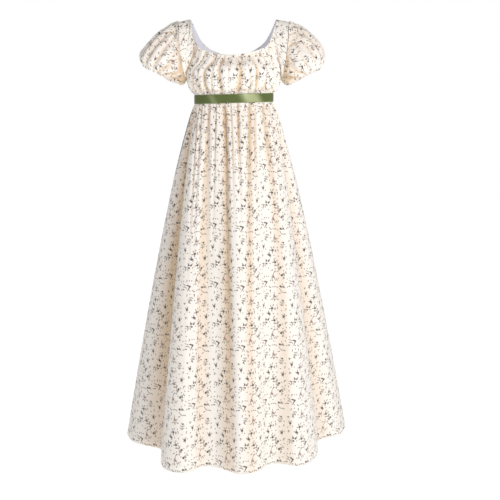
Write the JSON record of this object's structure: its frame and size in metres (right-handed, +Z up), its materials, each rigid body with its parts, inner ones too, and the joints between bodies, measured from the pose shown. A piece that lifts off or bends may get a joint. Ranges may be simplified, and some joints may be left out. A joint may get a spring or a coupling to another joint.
{
  "type": "regency gown",
  "caption": "Long high-waisted gown with a gathered scoop neck, puffed short sleeves, a ribbon under the bust and a fluted full skirt.",
  "frame": {"origin": "between the shoulders, level with the top of the straps' inner face, where the wearer carries the gown", "axes": "+Z up, the front faces -Y, +X is the viewer's right"},
  "size_m": [0.7645, 0.7163, 1.4011],
  "materials": {
    "printed_cotton": "matt plain weave, small dark sprigs on cream",
    "plain_lining": "matt plain weave, unprinted",
    "green_satin": "satin ribbon with a soft sheen"
  },
  "bodies": {
    "root": {"skirt_front": "printed_cotton", "skirt_back": "printed_cotton", "bodice_front": "printed_cotton", "bodice_back": "printed_cotton", "back_lining": "plain_lining", "sleeve_left": "printed_cotton", "sleeve_right": "printed_cotton", "ribbon": "green_satin"}
  },
  "joints": []
}
